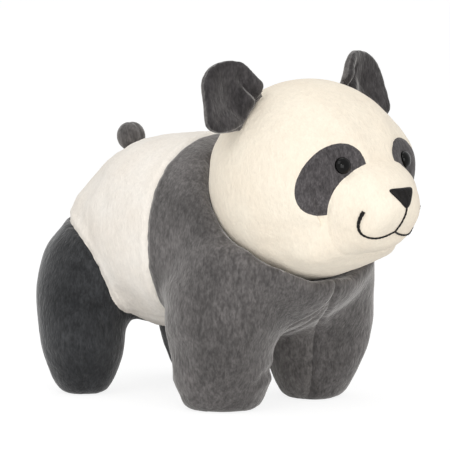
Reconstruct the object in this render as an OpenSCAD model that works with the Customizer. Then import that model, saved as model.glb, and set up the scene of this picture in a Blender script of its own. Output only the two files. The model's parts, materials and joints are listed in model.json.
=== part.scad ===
// Plush panda standing on four legs and looking along +X; +Y is its left, +Z is up.
// Sewn panels over fibre filling, with a head, two ears and a tail that are sewn on and can bend.
// The origin is on the ground, under the middle of the animal. Sizes are in millimetres.

/* [Trunk] */
// Length of the trunk, from the rump to the chest
trunk_len = 212; // [176:1:256]
// Width of the trunk
trunk_w = 124; // [102:1:150]
// Height of the trunk, from the belly to the back
trunk_h = 122; // [100:1:148]
// Height of the belly above the ground
belly_z = 38; // [31:1:46]
// Length of the dark chest and shoulder, up to the white flank
shoulder_len = 105; // [86:1:126]
// Width of the white belly panel
belly_w = 76; // [62:1:90]

/* [Hind legs] */
// Distance between the middles of the hind feet
hind_spread = 100; // [88:1:114]
// Distance of the hind feet in front of the rump
hind_set = 40; // [34:1:50]
// Width of a hind foot
hind_foot_d = 52; // [43:1:60]
// Width of the flat under a hind foot
hind_sole_d = 22; // [18:1:28]
// Length of the thigh, front to back
thigh_len = 62; // [52:1:74]
// Thickness of the thigh
thigh_w = 50; // [43:1:60]
// Height of the dark haunch at the rump
haunch_z = 106; // [92:1:118]
// Distance of the haunch's front seam in front of the thigh
haunch_margin = 2; // [1:0.5:6]

/* [Forelegs] */
// Distance between the middles of the forefeet
fore_spread = 77; // [70:1:92]
// Distance of the forefeet behind the chest
fore_set = 64; // [54:1:78]
// Length of a forefoot, along its toed-in axis
fore_foot_len = 60; // [50:1:72]
// Width of a forefoot
fore_foot_w = 52; // [44:1:62]
// Width of the flat under a forefoot
fore_sole_w = 30; // [22:1:36]
// Length of the upper foreleg, front to back
arm_len = 82; // [69:1:98]
// Thickness of the upper foreleg
arm_w = 73; // [61:1:87]
// Toe-in of the forefeet, in degrees
toe_in = 45; // [20:1:60]

/* [Head] */
// Diameter of the round head
head_d = 120; // [104:1:138]
// Distance of the head's centre behind the chest
head_set = 29; // [22:1:36]
// Distance of the head's centre below the back
head_drop = 23; // [14:1:32]
// Reach of the muzzle in front of the head's centre
muzzle_reach = 78; // [70:1:90]
// Width of the muzzle
muzzle_w = 68; // [58:1:80]
// Height of the muzzle
muzzle_h = 57; // [48:1:66]
// Distance of the muzzle's middle below the head's centre
muzzle_drop = 11; // [6:1:16]

/* [Ears] */
// Diameter of an ear
ear_d = 48; // [40:1:58]
// Thickness of an ear, both layers together
ear_t = 9; // [7:0.5:12]
// Height of an ear above the head
ear_stand = 39; // [33:1:48]
// Depth of the ear's cupped hollow
ear_cup = 6; // [3:1:9]
// Angle of the ears from the top of the head, in degrees
ear_spread = 45; // [38:1:54]

/* [Eyes] */
// Diameter of an eye
eye_d = 10; // [8:0.5:12]
// Diameter of the eye's stem
eye_stem_d = 4; // [3:0.5:5]
// Length of the eye's stem
eye_stem_len = 13; // [11:1:16]
// Diameter of the lock washer
washer_d = 15; // [12:1:18]
// Thickness of the lock washer
washer_t = 1.5; // [1:0.1:2]
// Length of the dark eye patch
patch_len = 52; // [44:1:58]
// Width of the dark eye patch
patch_w = 38; // [32:1:42]

/* [Nose and mouth] */
// Width of the nose
nose_w = 19; // [15:1:23]
// Height of the nose
nose_h = 12.5; // [10:0.5:15]
// Padding of the nose embroidery
nose_t = 1.5; // [1:0.1:2.5]
// Half width of the smile
smile_w = 23; // [19:1:26]
// Width of the mouth's stitched line
thread_w = 1.3; // [1:0.1:2]

/* [Tail] */
// Diameter of the tail's end
tail_d = 18; // [15:1:22]
// Length of the tail above the back
tail_len = 14; // [13:1:20]
// Distance of the tail in front of the rump
tail_set = 31; // [26:1:38]

/* [Fabric] */
// Thickness of the plush, backing and pile together
plush_t = 2; // [1.5:0.1:2.6]
// Thickness of the turned-in roll of the neck seam
neck_roll_d = 2; // [1.6:0.1:3]
// Diameter of the neck opening
neck_d = 82; // [70:1:84]
// Clearance between neighbouring pieces
gap = 0.3; // [0.2:0.05:0.4]

/* [Hidden] */

white = "#F6EFE6";
cream = "#FBF2DF";
charcoal = "#656264";
dark_charcoal = "#4B4C50";
black = "#151210";
nylon = "#E8E6E0";
fibre = "#F4F4F2";

// Larger than anything on the toy, for cutting
far = 400;

// Places along the toy
total_len = trunk_len - head_set + muzzle_reach + nose_t;
rump_x = -total_len / 2;
chest_x = rump_x + trunk_len;
trunk_c = [(rump_x + chest_x) / 2, 0, belly_z + trunk_h / 2];
trunk_round = 2.5;
rib_round = 2.2;
shoulder_x = chest_x - shoulder_len;
back_z = belly_z + trunk_h;

// Feet
hind_foot = [rump_x + hind_set, hind_spread / 2, 0];
fore_foot = [chest_x - fore_set, fore_spread / 2, 0];
hind_round_z = 30;
fore_round_z = 19;
thigh_back = 6;
haunch_len = hind_set - thigh_back + thigh_len / 2 + haunch_margin;
hind_seam_turn = 45;
hind_seam_lean = 10;
leg_fill_top = belly_z + 10;
gusset_top = belly_z + 27;
gusset_turn = 28;

// Head
head_r = head_d / 2;
head_c = [chest_x - head_set, 0, back_z - head_drop];
muzzle_r = [33, muzzle_w / 2, muzzle_h / 2];
muzzle_at = [muzzle_reach - muzzle_r[0], 0, -muzzle_drop];
cup_r = head_r + neck_roll_d + 2 * gap;
neck_ring_r = head_r + gap + neck_roll_d / 2;
neck_tilt = atan2(head_c[0] - trunk_c[0], head_c[2] - trunk_c[2]);

// Eyes, as turns to the side and up from straight ahead
eye_side = 26.5;
eye_up = 13.5;
patch_side = 33;
patch_up = 6;
patch_tilt = 42;
eye_sink = 0.8;
eye_dome = 3.4;
washer_sink = pow(washer_d / 2, 2) / (2 * (head_r - plush_t)) + gap;

// Ears: how far each can be folded, and how it is turned to the side and tilted back
ear_forward = 50;
ear_backward = 25;
ear_turn = 6;
ear_tilt = 7;
ear_lift = 1;

// Tail
tail_root_r = tail_d / 2 - 1;
tail_lift = 3;
tail_lean = 34;
tail_sway = 25;
tail_x = rump_x + tail_set;
tail_at = [tail_x, 0, trunk_top(tail_x) + tail_lift];
tail_run = tail_len - tail_lift - tail_d / 2;

// Height of the trunk's back at a place along it
function trunk_top(x) =
    let (share = abs(x - trunk_c[0]) / (trunk_len / 2))
    trunk_c[2] + trunk_h / 2 * pow(1 - pow(share, trunk_round), 1 / trunk_round);

// Radius of a ball of n facets that leaves a round piece of radius r clear inside it
function around(r, n) = r / pow(cos(180 / n), 2);

// A power that keeps the sign of its base
function signed_pow(v, e) = sign(v) * pow(abs(v), e);

// A point on a cubic curve through p[0] and p[3]
function curve(p, t) =
    pow(1 - t, 3) * p[0] + 3 * t * pow(1 - t, 2) * p[1] + 3 * t * t * (1 - t) * p[2] + pow(t, 3) * p[3];

// A closed skin over rings of points, from one end point to the other
module loft(start, rings, finish) {
    n = len(rings[0]);
    m = len(rings);
    last = m * n + 1;
    function at(i, j) = 1 + i * n + j % n;
    side = [
        for (i = [0:m - 2], j = [0:n - 1])
            each [[at(i, j), at(i + 1, j + 1), at(i, j + 1)], [at(i, j), at(i + 1, j), at(i + 1, j + 1)]]
    ];
    ends = [
        for (j = [0:n - 1])
            each [[0, at(0, j), at(0, j + 1)], [last, at(m - 1, j + 1), at(m - 1, j)]]
    ];
    polyhedron(points = [start, for (r = rings) each r, finish], faces = concat(side, ends));
}

// Keeps a soft piece as one sewn form
module sewn() {
    resize([0, 0, 0]) children();
}

module mirrored(side) {
    if (side > 0) {
        children();
    } else {
        mirror([0, 1, 0]) children();
    }
}

module half_space(side, from) {
    translate([-far, side > 0 ? from : -far - from, -far]) cube([2 * far, far, 2 * far]);
}

// ---- Body forms: the outer face of the plush at inset 0, and its backing at inset plush_t ----

module trunk_form(inset) {
    a = [trunk_len, trunk_w, trunk_h] / 2 - [inset, inset, inset];
    rings = [
        for (s = [-78:12:78])
            let (x = a[0] * signed_pow(sin(s), 2 / trunk_round), r = pow(cos(s), 2 / trunk_round))
            [
                for (u = [0:15:345])
                    trunk_c + [
                        x,
                        a[1] * r * signed_pow(cos(u), 2 / rib_round),
                        a[2] * r * signed_pow(sin(u), 2 / rib_round)
                    ]
            ]
    ];
    loft(trunk_c - [a[0], 0, 0], rings, trunk_c + [a[0], 0, 0]);
}

// One level ring of a leg: its middle, half length, half width and turn
function leg_ring(c, len, wid, turn) = [
    for (u = [0:22.5:337.5])
        c + [
            len * cos(u) * cos(turn) - wid * sin(u) * sin(turn),
            len * cos(u) * sin(turn) + wid * sin(u) * cos(turn),
            0
        ]
];

// Share of a foot's full width at a share of the height of its rounded edge
function foot_swell(share) = pow(share, 0.55);

// Left foreleg, from its flat sole up into the shoulder
module foreleg_form(inset) {
    edge = (fore_foot_w - fore_sole_w) / 2;
    foot = [
        for (share = [0, 0.08, 0.3, 0.6, 1])
            let (pull = inset + edge * (1 - foot_swell(share)), z = inset + (fore_round_z - inset) * share)
            leg_ring(fore_foot + [0, 0, z], fore_foot_len / 2 - pull, fore_foot_w / 2 - pull, -toe_in)
    ];
    elbow_z = belly_z + 0.28 * trunk_h;
    arm = [
        leg_ring(fore_foot + [0, 0, belly_z - 2], fore_foot_len / 2 + 1 - inset, fore_foot_w / 2 + 5 - inset,
            -0.8 * toe_in),
        leg_ring(fore_foot + [1, -1, belly_z + 12], (fore_foot_len + arm_len) / 4 + 2 - inset,
            (fore_foot_w + arm_w) / 4 + 4 - inset, -0.6 * toe_in),
        leg_ring(fore_foot + [3, -3, elbow_z], arm_len / 2 - inset, arm_w / 2 - inset, -toe_in / 3),
        leg_ring(fore_foot + [6, -8, trunk_c[2]], arm_len / 2 - 2 - inset, arm_w / 2 - 4 - inset, 0),
        leg_ring(fore_foot + [6, -15, trunk_c[2] + 22], arm_len / 4 - inset, arm_w / 4 - inset, 0)
    ];
    loft(fore_foot + [0, 0, inset], concat(foot, arm), fore_foot + [6, -15, trunk_c[2] + 28]);
}

// Left hind leg, from its rounded foot up into the haunch
module hind_leg_form(inset) {
    edge = (hind_foot_d - hind_sole_d) / 2;
    foot = [
        for (share = [0, 0.08, 0.3, 0.6, 1])
            let (
                r = hind_foot_d / 2 - edge * (1 - foot_swell(share)) - inset,
                z = inset + (hind_round_z - inset) * share
            )
            leg_ring(hind_foot + [0, 0, z], r, r, 0)
    ];
    thigh = [
        leg_ring(hind_foot + [-thigh_back / 2, -2, belly_z + 8], thigh_len / 2 - 2 - inset,
            hind_foot_d / 2 - inset, 0),
        leg_ring(hind_foot + [-thigh_back, -4, belly_z + 0.2 * trunk_h], thigh_len / 2 - inset,
            thigh_w / 2 - inset, 0),
        leg_ring(hind_foot + [-thigh_back, -11, belly_z + 0.4 * trunk_h], thigh_len / 2 - inset,
            thigh_w / 2 - 1 - inset, 0),
        leg_ring(hind_foot + [0, -20, belly_z + 0.6 * trunk_h], thigh_len / 3 - inset, thigh_w / 3 - inset, 0)
    ];
    loft(hind_foot + [0, 0, inset], concat(foot, thigh), hind_foot + [0, -20, belly_z + 0.66 * trunk_h]);
}

module legs_form(inset) {
    for (side = [1, -1]) {
        mirrored(side) foreleg_form(inset);
        mirrored(side) hind_leg_form(inset);
    }
}

module body_form(inset) {
    trunk_form(inset);
    legs_form(inset);
}

// The head sits in a round hollow between the shoulders
module neck_hollow() {
    translate(head_c) sphere(around(cup_r, 32), $fn = 32);
}

// The back leaves room for the tail as far as it sways to each side
module tail_hollow() {
    translate(tail_at) rotate([0, -tail_lean, 0]) hull() {
        sphere(around(tail_root_r + gap, 24), $fn = 24);
        for (side = [-1, 1])
            translate([0, side * tail_run * sin(tail_sway), tail_run])
                sphere(around(tail_d / 2 + gap, 24), $fn = 24);
    }
}

module body_plush() {
    difference() {
        body_form(0);
        body_form(plush_t);
        neck_hollow();
        tail_hollow();
    }
}

// ---- Seam zones: where each panel of the body lies; grow leaves room beside a seam ----

module shoulder_zone(grow) {
    translate([shoulder_x - grow, -far / 2, -far / 2]) cube(far);
}

module haunch_zone(grow) {
    low = belly_z + 8;
    len = haunch_len + grow;
    rise = haunch_z - low + grow;
    arc = [
        for (t = [0:9:90])
            [rump_x + len * pow(sin(t), 2 / 2.4), low + rise * pow(cos(t), 2 / 2.4)]
    ];
    rotate([90, 0, 0]) linear_extrude(far, center = true)
        polygon(concat([[rump_x - far, low + rise]], arc, [[rump_x + len, -far], [rump_x - far, -far]]));
}

module belly_zone(grow) {
    w = belly_w + 2 * grow;
    translate([-far, -w / 2, -far]) cube([2 * far, w, far + belly_z + trunk_h / 4]);
}

// The inner side of the left foreleg and the chest between the legs
module foreleg_inner_zone(grow) {
    intersection() {
        translate(fore_foot + fore_foot_len / 2 * [cos(toe_in), -sin(toe_in), 0]) rotate(-gusset_turn)
            translate([-far, -far + grow, -far]) cube([2 * far, far, 2 * far]);
        translate([-far, -far, -far]) cube([2 * far, 2 * far, far + gusset_top + grow]);
    }
}

// The front and inner side of the left hind leg
module hind_inner_zone(grow) {
    translate(hind_foot) rotate([0, hind_seam_lean, 0]) rotate(hind_seam_turn)
        translate([-far, -far + grow, -far]) cube([2 * far, far, 2 * far]);
}

// ---- Body panels ----

module back_panel(side) {
    color(white) sewn() mirrored(side) intersection() {
        difference() {
            body_plush();
            shoulder_zone(gap);
            haunch_zone(gap);
            belly_zone(gap);
        }
        half_space(1, gap / 2);
    }
}

module belly_panel() {
    color(white) sewn() intersection() {
        difference() {
            body_plush();
            shoulder_zone(gap);
            haunch_zone(gap);
        }
        belly_zone(0);
    }
}

module shoulder_panel(side) {
    color(charcoal) sewn() mirrored(side) intersection() {
        difference() {
            body_plush();
            foreleg_inner_zone(gap);
        }
        shoulder_zone(0);
        half_space(1, gap / 2);
    }
}

module foreleg_inner(side) {
    color(charcoal) sewn() mirrored(side) intersection() {
        body_plush();
        shoulder_zone(0);
        foreleg_inner_zone(0);
        half_space(1, gap / 2);
    }
}

module hind_leg_outer(side) {
    color(dark_charcoal) sewn() mirrored(side) intersection() {
        difference() {
            body_plush();
            hind_inner_zone(gap);
        }
        haunch_zone(0);
        half_space(1, gap / 2);
    }
}

module hind_leg_inner(side) {
    color(dark_charcoal) sewn() mirrored(side) intersection() {
        body_plush();
        haunch_zone(0);
        hind_inner_zone(0);
        half_space(1, gap / 2);
    }
}

// ---- Body filling ----

module above(z) {
    translate([-far, -far, z]) cube([2 * far, 2 * far, far]);
}

module body_filling() {
    inset = plush_t + 2 * gap;
    color(fibre) sewn() difference() {
        union() {
            trunk_form(inset);
            intersection() {
                legs_form(inset);
                above(leg_fill_top + gap);
            }
        }
        neck_hollow();
        tail_hollow();
    }
}

module foreleg_filling(side) {
    color(fibre) sewn() mirrored(side) difference() {
        foreleg_form(plush_t + gap);
        above(leg_fill_top);
        trunk_form(plush_t);
    }
}

module hind_leg_filling(side) {
    color(fibre) sewn() mirrored(side) difference() {
        hind_leg_form(plush_t + gap);
        above(leg_fill_top);
        trunk_form(plush_t);
    }
}

// ---- Neck ----

// The turned-in edge and ladder stitches that join the head to the body
module neck_seam() {
    angle = asin(neck_d / 2 / neck_ring_r);
    color(charcoal) translate(head_c) rotate([0, 180 + neck_tilt, 0])
        rotate_extrude($fn = 96) translate([neck_ring_r * sin(angle), neck_ring_r * cos(angle)])
            circle(d = neck_roll_d, $fn = 24);
}

// ---- Head ----

module skull_form(inset) {
    sphere(head_r - inset, $fn = 32);
}

module muzzle_form(inset) {
    translate(muzzle_at) scale(muzzle_r - [inset, inset, inset]) sphere(1, $fn = 24);
}

// The room inside the head's plush, clear of the filling
module skull_hollow() {
    sphere(around(head_r - plush_t, 32), $fn = 32);
}

module muzzle_hollow() {
    translate(muzzle_at) scale(muzzle_r - [plush_t, plush_t, plush_t]) sphere(around(1, 24), $fn = 24);
}

// Turns a piece from straight up to straight ahead and then out to the left eye or patch
module towards(side_turn, up_turn) {
    rotate([0, -up_turn, side_turn]) rotate([0, 90, 0]) children();
}

module patch_zone(grow) {
    towards(patch_side, patch_up) rotate(90 - patch_tilt)
        scale([patch_len / 2 + grow, patch_w / 2 + grow, 1]) cylinder(h = far, r = 1, $fn = 32);
}

module head_side(side) {
    color(cream) sewn() translate(head_c) mirrored(side) intersection() {
        difference() {
            skull_form(0);
            skull_hollow();
            muzzle_form(-gap);
            patch_zone(gap);
        }
        half_space(1, gap / 2);
    }
}

module muzzle_panel() {
    color(cream) sewn() translate(head_c) difference() {
        muzzle_form(0);
        muzzle_hollow();
        skull_form(-gap);
    }
}

module eye_patch(side) {
    color(charcoal) sewn() translate(head_c) mirrored(side) difference() {
        intersection() {
            skull_form(0);
            patch_zone(0);
        }
        skull_hollow();
        muzzle_form(-gap);
        towards(eye_side, eye_up) {
            translate([0, 0, head_r - eye_sink - gap]) cylinder(h = 5, d = eye_d + 2 * gap, $fn = 16);
            cylinder(h = head_r, d = eye_stem_d + 2 * gap, $fn = 16);
        }
    }
}

module head_filling() {
    inset = plush_t + gap;
    color(fibre) sewn() translate(head_c) difference() {
        union() {
            skull_form(inset);
            muzzle_form(inset);
        }
        for (side = [1, -1]) {
            mirrored(side) towards(eye_side, eye_up) {
                translate([0, 0, washer_top() - washer_t - gap])
                    cylinder(h = 10, d = washer_d + 4 * gap, $fn = 16);
                translate([0, 0, head_r - eye_sink - eye_stem_len - gap])
                    cylinder(h = eye_stem_len, d = eye_stem_d + 4 * gap, $fn = 16);
            }
        }
    }
}

// ---- Eyes: a domed button with a ridged stem, held from behind by a lock washer ----

function washer_top() = head_r - plush_t - washer_sink;

module eye(side) {
    r = eye_stem_d / 2;
    ridge = 0.35;
    pitch = 2;
    dome = [for (a = [0:10:90]) [eye_d / 2 * cos(a), eye_dome * sin(a)]];
    teeth = [
        for (z = [-eye_stem_len + 2:pitch:-pitch])
            each [[r - ridge, z], [r, z + 0.3 * pitch], [r, z + 0.6 * pitch], [r - ridge, z + 0.9 * pitch]]
    ];
    color(black) translate(head_c) mirrored(side) towards(eye_side, eye_up)
        translate([0, 0, head_r - eye_sink]) rotate_extrude($fn = 48)
            polygon(concat([[0, -eye_stem_len], [r - 2 * ridge, -eye_stem_len]], teeth, [[r - ridge, 0]], dome));
}

module eye_washer(side) {
    color(nylon) translate(head_c) mirrored(side) towards(eye_side, eye_up)
        translate([0, 0, washer_top() - washer_t]) difference() {
            cylinder(h = washer_t, d = washer_d, $fn = 48);
            translate([0, 0, -1]) cylinder(h = washer_t + 2, d = eye_stem_d + gap, $fn = 48);
        }
}

// ---- Nose and mouth, worked in thread on the muzzle ----

module on_muzzle(thick) {
    intersection() {
        difference() {
            muzzle_form(-thick);
            muzzle_form(-0.1);
        }
        translate([muzzle_at[0], 0, muzzle_at[2]]) rotate([90, 0, 90]) linear_extrude(far) children();
    }
}

module nose_embroidery() {
    corner = 2.5;
    color(black) sewn() translate(head_c) on_muzzle(nose_t) translate([0, 7]) hull() {
        for (y = [-1, 1]) {
            translate([y * (nose_w / 2 - corner), nose_h / 2 - corner]) circle(corner, $fn = 16);
        }
        translate([0, -nose_h / 2 + corner]) circle(corner, $fn = 16);
    }
}

module stitch_line(points) {
    for (i = [0:len(points) - 2]) {
        hull() {
            translate(points[i]) circle(d = thread_w, $fn = 8);
            translate(points[i + 1]) circle(d = thread_w, $fn = 8);
        }
    }
}

module mouth_embroidery() {
    low = -14;
    smile = [[0, low], [0.35 * smile_w, low - 4], [0.87 * smile_w, low - 3], [smile_w, low + 13]];
    color(black) sewn() translate(head_c) on_muzzle(thread_w) {
        stitch_line([[0, 7 - nose_h / 2 - gap - thread_w / 2], [0, low]]);
        for (y = [-1, 1]) {
            mirror([y > 0 ? 0 : 1, 0]) stitch_line([for (t = [0:0.125:1]) curve(smile, t)]);
        }
    }
}

// ---- Ears: two cupped layers sewn round the rim ----

// A point of the left ear at a share of its radius, an angle round it and a depth from the rim's face
function ear_point(share, angle, depth) =
    let (y = ear_d / 2 * share * sin(angle), z = ear_d / 2 * share * cos(angle))
    [depth + ear_cup * pow(2 * y / ear_d, 2), y, z + ear_stand - ear_d / 2];

function ear_ring(share, depth) = [for (a = [0:15:345]) ear_point(share, a, depth)];

function ear_crown(share) = ear_t / 2 * sqrt(1 - pow(share, 4));

module ear_layer(front) {
    inner = gap / 2;
    shares = [0.4, 0.7, 0.9, 1];
    if (front) {
        outside = [for (s = shares) ear_ring(s, max(inner, ear_crown(s)))];
        loft(ear_point(0, 0, ear_crown(0)), concat(outside, [ear_ring(0.5, inner)]), ear_point(0, 0, inner));
    } else {
        outside = [for (s = [1, 0.9, 0.7, 0.4]) ear_ring(s, -max(inner, ear_crown(s)))];
        loft(ear_point(0, 0, -inner), concat([ear_ring(0.5, -inner)], outside), ear_point(0, 0, -ear_crown(0)));
    }
}

// Each ear is cut at its base so that it clears the head however it is folded
module ear(side, front) {
    color(charcoal) sewn() translate(head_c) mirrored(side)
        rotate([-ear_spread, 0, 0]) rotate([0, -ear_tilt, 0]) translate([0, 0, head_r + ear_lift]) rotate(ear_turn)
            difference() {
                ear_layer(front);
                translate([0, 0, -head_r - ear_lift]) sphere(head_r + gap, $fn = 32);
                for (fold = [-ear_forward, ear_backward]) {
                    rotate([0, fold, 0]) translate([-far, -far, gap - ear_lift - 2 * far]) cube(2 * far);
                }
            }
}

// ---- Tail: a stub with a round root that bends where it is sewn into the back ----

module tail_form(inset) {
    translate(tail_at) rotate([0, -tail_lean, 0]) hull() {
        sphere(tail_root_r - inset, $fn = 16);
        translate([0, 0, tail_run]) sphere(tail_d / 2 - inset, $fn = 16);
    }
}

module tail_half(side) {
    color(charcoal) sewn() mirrored(side) intersection() {
        difference() {
            tail_form(0);
            tail_form(plush_t);
        }
        half_space(1, gap / 2);
    }
}

module tail_filling() {
    color(fibre) sewn() tail_form(plush_t + gap);
}

back_panel(1);  // back_panel_left
back_panel(-1);  // back_panel_right
belly_panel();
shoulder_panel(1);  // shoulder_panel_left
shoulder_panel(-1);  // shoulder_panel_right
foreleg_inner(1);  // foreleg_inner_left
foreleg_inner(-1);  // foreleg_inner_right
hind_leg_outer(1);  // hind_leg_outer_left
hind_leg_outer(-1);  // hind_leg_outer_right
hind_leg_inner(1);  // hind_leg_inner_left
hind_leg_inner(-1);  // hind_leg_inner_right
body_filling();
foreleg_filling(1);  // foreleg_filling_left
foreleg_filling(-1);  // foreleg_filling_right
hind_leg_filling(1);  // hind_leg_filling_left
hind_leg_filling(-1);  // hind_leg_filling_right
neck_seam();
head_side(1);  // head_side_left
head_side(-1);  // head_side_right
muzzle_panel();
eye_patch(1);  // eye_patch_left
eye_patch(-1);  // eye_patch_right
head_filling();
eye(1);  // eye_left
eye(-1);  // eye_right
eye_washer(1);  // eye_washer_left
eye_washer(-1);  // eye_washer_right
nose_embroidery();
mouth_embroidery();
ear(1, true);  // ear_front_left
ear(1, false);  // ear_back_left
ear(-1, true);  // ear_front_right
ear(-1, false);  // ear_back_right
tail_half(1);  // tail_left
tail_half(-1);  // tail_right
tail_filling();
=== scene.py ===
import json
import math

import bmesh
import bpy
from mathutils import Matrix, Vector, noise
from mathutils.bvhtree import BVHTree
from mathutils.kdtree import KDTree


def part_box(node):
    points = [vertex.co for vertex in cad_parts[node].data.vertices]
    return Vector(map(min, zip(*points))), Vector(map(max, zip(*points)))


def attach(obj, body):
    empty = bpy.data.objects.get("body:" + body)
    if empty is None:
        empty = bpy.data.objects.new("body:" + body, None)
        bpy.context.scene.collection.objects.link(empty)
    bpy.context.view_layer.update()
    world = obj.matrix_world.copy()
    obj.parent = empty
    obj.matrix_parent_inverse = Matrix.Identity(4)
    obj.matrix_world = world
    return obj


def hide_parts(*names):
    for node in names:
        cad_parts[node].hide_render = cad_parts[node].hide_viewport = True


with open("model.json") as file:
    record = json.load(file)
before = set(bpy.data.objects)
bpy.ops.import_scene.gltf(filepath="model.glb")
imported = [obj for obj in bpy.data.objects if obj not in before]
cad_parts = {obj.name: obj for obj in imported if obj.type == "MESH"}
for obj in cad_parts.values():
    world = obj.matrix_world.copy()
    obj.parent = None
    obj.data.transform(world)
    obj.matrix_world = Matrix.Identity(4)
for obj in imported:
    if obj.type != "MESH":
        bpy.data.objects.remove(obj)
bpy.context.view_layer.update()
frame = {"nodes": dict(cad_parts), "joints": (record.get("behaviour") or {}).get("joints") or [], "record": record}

MM = 0.001

# ---- Places on the toy, taken from the frame ----

JOINT = {j["name"]: j for j in frame["joints"]}
HEAD_AT = Vector(JOINT["head_turn"]["pos_m"])
TAIL_AT = Vector(JOINT["tail_sway"]["pos_m"])


def low(node):
    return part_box(node)[0]


def high(node):
    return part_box(node)[1]


HEAD_R = high("head_side_left").y
SHOULDER_X = low("shoulder_panel_left").x
BELLY_Z = low("belly_panel").z
BELLY_HALF = high("belly_panel").y
RUMP_X = low("hind_leg_outer_left").x
HAUNCH_X = high("hind_leg_inner_left").x
HAUNCH_Z = high("hind_leg_outer_left").z
HAUNCH_LOW = BELLY_Z + 8 * MM
HAUNCH_CURVE = 2.4  # squareness of the haunch seam: 2 is a round arch
GUSSET_TOP = high("foreleg_inner_left").z
GUSSET_TURN = math.radians(28)

FORE_FOOT = Vector((16.75, 38.5, 0)) * MM
FORE_FOOT_LEN = 60 * MM
TOE_IN = math.radians(45)
HIND_FOOT = Vector((-91.25, 50, 0)) * MM
SHIN_TURN = math.radians(45)
SHIN_LEAN = math.radians(10)

MUZZLE_AT = HEAD_AT + Vector((45, 0, -11)) * MM
MUZZLE_R = Vector((33, 34, 28.5)) * MM
EYE_SIDE = math.radians(26.5)
EYE_UP = math.radians(13.5)
EYE_R = 5 * MM
EYE_SINK = 0.5 * MM
PATCH_SIDE = math.radians(33)
PATCH_UP = math.radians(6)
PATCH_TILT = math.radians(42)
PATCH_HALF = Vector((24.6, 18)) * MM

EAR_SPREAD = math.radians(45)
EAR_TILT = math.radians(7)
EAR_TURN = math.radians(6)
EAR_R = 24 * MM
EAR_CUP = 6 * MM
EAR_LIFT = 1 * MM
EAR_INWARD = math.radians(-8)
EAR_LEAN = 4.2  # millimetres


# ---- Thicknesses, mesh sizes and stuffing ----

PLUSH_T = 2 * MM
BODY_WALL = HEAD_WALL = 0.7 * PLUSH_T
EAR_WALL = TAIL_WALL = 0.5 * PLUSH_T
SATIN_WALL = 0.6 * MM

BODY_CELL = 3 * MM
HEAD_CELL = 2.5 * MM
EAR_CELL = 1.6 * MM
TAIL_CELL = 1.2 * MM
FILLING_CELL = 4 * MM

CLOTH_PRESSURE = 4.0
CLOTH_SLACK = 0.03
CLOTH_FRAMES = 20

WELD = 0.001 * MM  # points closer than this are one point


# ---- Mesh helpers ----

def hump(value, middle, width):
    """One at the middle, falling smoothly to nothing on both sides"""
    return math.exp(-(((value - middle) / width) ** 2))


def ramp(value, start, length):
    """Nothing up to the start, then rising evenly to one"""
    return min(1.0, max(0.0, (value - start) / length))


def on_left(p):
    """The place mirrored to the left half of the toy"""
    return Vector((p.x, abs(p.y), p.z))


def to_own_side(move, p):
    """A move given for the left half, mirrored for a place on the right"""
    return Vector((move.x, move.y if p.y > 0 else -move.y, move.z))


def mesh_object(name, bm):
    mesh = bpy.data.meshes.new(name)
    bm.to_mesh(mesh)
    bm.free()
    for face in mesh.polygons:
        face.use_smooth = True
    obj = bpy.data.objects.new(name, mesh)
    bpy.context.scene.collection.objects.link(obj)
    return obj


def modified(obj):
    """The mesh of an object with its modifiers applied, as a bmesh; the object is used up"""
    graph = bpy.context.evaluated_depsgraph_get()
    bm = bmesh.new()
    bm.from_object(obj, graph)
    mesh = obj.data
    bpy.data.objects.remove(obj)
    bpy.data.meshes.remove(mesh)
    return bm


def copied(nodes):
    """Copies of CAD nodes in one mesh, with their loose triangles joined"""
    bm = bmesh.new()
    for node in nodes:
        bm.from_mesh(frame["nodes"][node].data)
    bmesh.ops.remove_doubles(bm, verts=bm.verts, dist=WELD)
    return bm


def largest_part(bm):
    """Keeps the part of a mesh with its highest point, and drops what the remesh left inside"""
    start = max(bm.verts, key=lambda v: v.co.z)
    found = {start}
    waiting = [start]
    while waiting:
        v = waiting.pop()
        for e in v.link_edges:
            other = e.other_vert(v)
            if other not in found:
                found.add(other)
                waiting.append(other)
    bmesh.ops.delete(bm, geom=list(set(bm.verts) - found), context="VERTS")


def smooth(bm, times, where=None):
    verts = [v for v in bm.verts if where is None or where(v.co)]
    for _ in range(times):
        bmesh.ops.smooth_vert(
            bm, verts=verts, factor=0.5, use_axis_x=True, use_axis_y=True, use_axis_z=True
        )


def one_skin(name, nodes, cell):
    """One closed skin round CAD nodes, with even cells, as cloth needs"""
    obj = mesh_object(name, copied(nodes))
    remesh = obj.modifiers.new("even cells", "REMESH")
    remesh.mode = "VOXEL"
    remesh.voxel_size = cell
    bm = modified(obj)
    largest_part(bm)
    bmesh.ops.recalc_face_normals(bm, faces=bm.faces)
    return bm


def evened(moves, bm, times):
    """Each point's move, averaged with its neighbours'"""
    for _ in range(times):
        moves = [
            (moves[v.index] + sum((moves[e.other_vert(v).index] for e in v.link_edges), Vector()))
            / (1 + len(v.link_edges))
            for v in bm.verts
        ]
    return moves


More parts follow.
